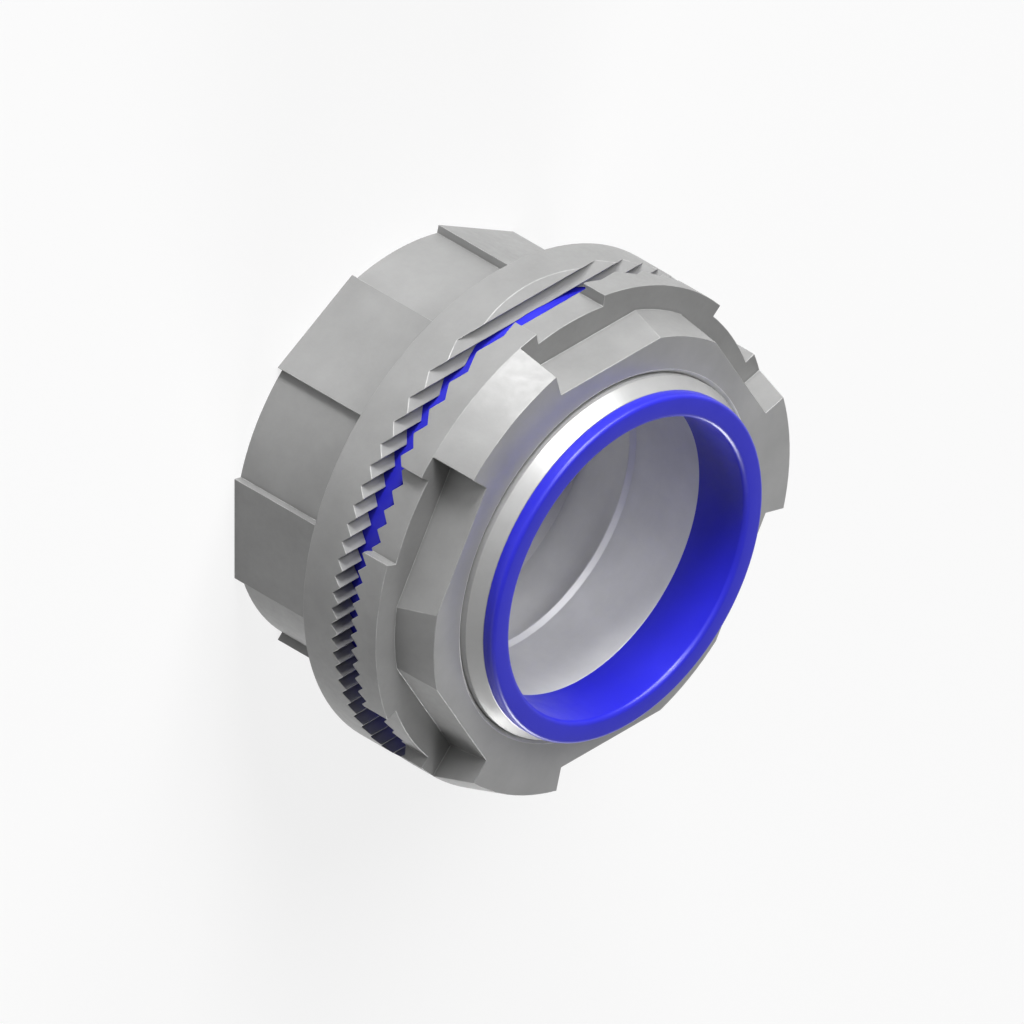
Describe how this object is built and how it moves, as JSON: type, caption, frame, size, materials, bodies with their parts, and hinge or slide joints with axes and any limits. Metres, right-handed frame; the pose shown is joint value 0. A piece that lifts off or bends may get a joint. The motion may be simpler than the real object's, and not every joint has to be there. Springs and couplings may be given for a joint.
{
  "type": "conduit hub",
  "caption": "Insulated raintight conduit hub: wrench barrel, toothed flange, sealing ring, lined nipple and lobed toothed locknut.",
  "frame": {"origin": "centre of the conduit bore at the hub's conduit-end face, on which the part stands", "axes": "+Z along the bore towards the insulated throat; the clamping teeth run along X; a wrench pad of the barrel faces +X"},
  "size_m": [0.0834, 0.0834, 0.0498],
  "materials": {
    "zinc_plated_iron": "zinc plated casting, satin",
    "zinc_plated_nut": "zinc plated casting, satin",
    "blue_seal": "smooth moulded elastomer, blue",
    "blue_liner": "glossy moulded plastic, blue"
  },
  "bodies": {
    "hub": {"hub_body": "zinc_plated_iron", "sealing_ring": "blue_seal", "insulating_throat": "blue_liner"},
    "locknut": {"locknut": "zinc_plated_nut"}
  },
  "joints": [
    {"name": "locknut_turn", "type": "hinge", "parent": "hub", "child": "locknut", "pos_m": [0, 0, 0.0392], "axis": [0, 0, 1], "range_deg": [-460, 2200]}
  ]
}
